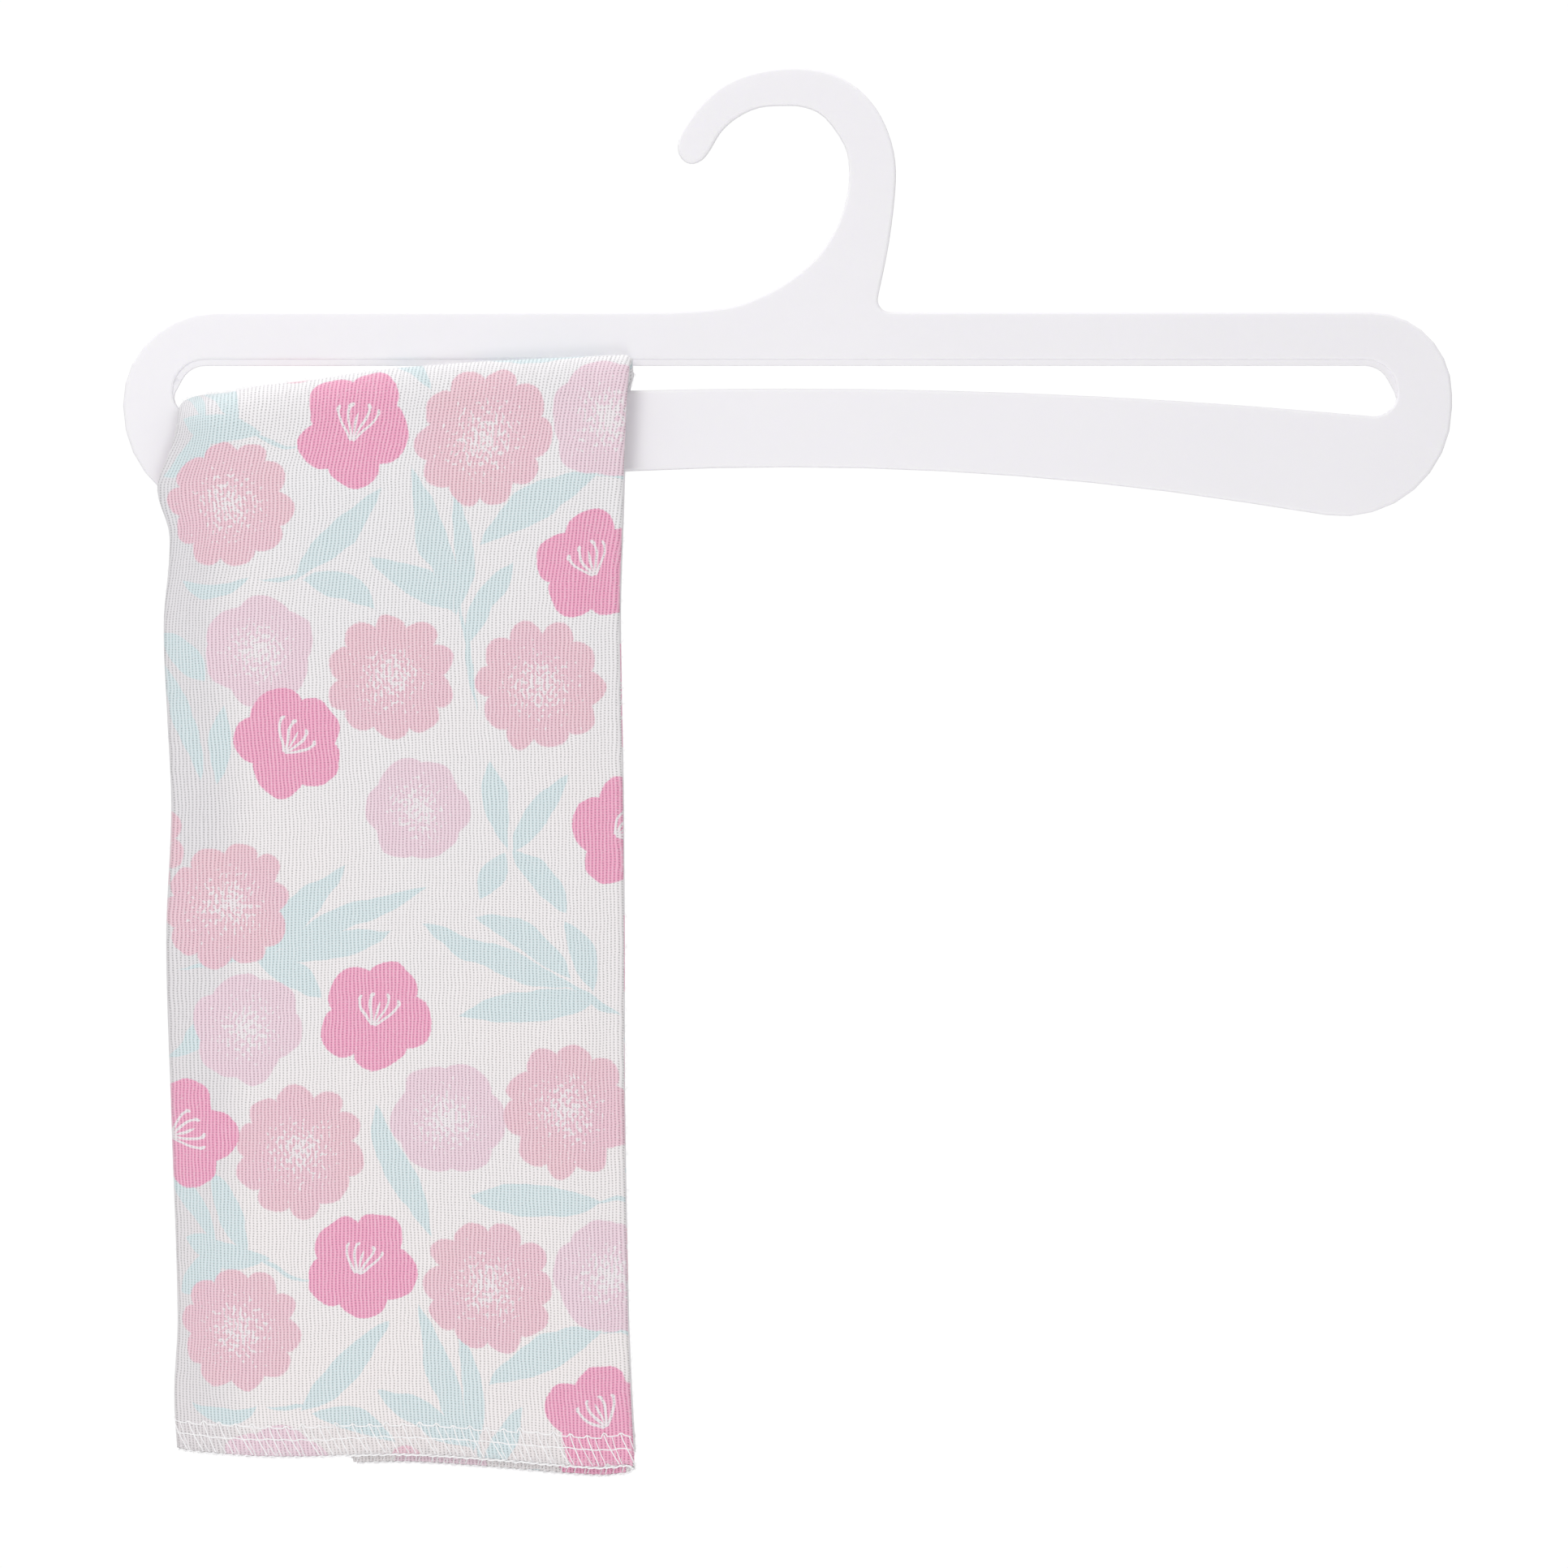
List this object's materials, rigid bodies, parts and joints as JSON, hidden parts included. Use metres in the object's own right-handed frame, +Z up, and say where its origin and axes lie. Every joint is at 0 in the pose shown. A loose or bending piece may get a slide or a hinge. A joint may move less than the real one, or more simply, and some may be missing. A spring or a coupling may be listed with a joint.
{
  "type": "burp cloth on a hanger",
  "caption": "Soft printed cotton burp cloth, folded lengthwise and hung over the lower bar of a flat plastic hanger whose hook goes on a rail.",
  "frame": {"origin": "inner crown of the hook, the point that rests on the rail", "axes": "+Z up, +X along the hanger's bars, -Y out of the front of the cloth"},
  "size_m": [0.2749, 0.015, 0.2915],
  "materials": {
    "flannel": "soft brushed cotton with a pale floral print, white overlocked edges",
    "plastic": "frosted, slightly see-through white"
  },
  "bodies": {
    "root": {"burp_cloth": "flannel", "hanger": "plastic"}
  },
  "joints": []
}
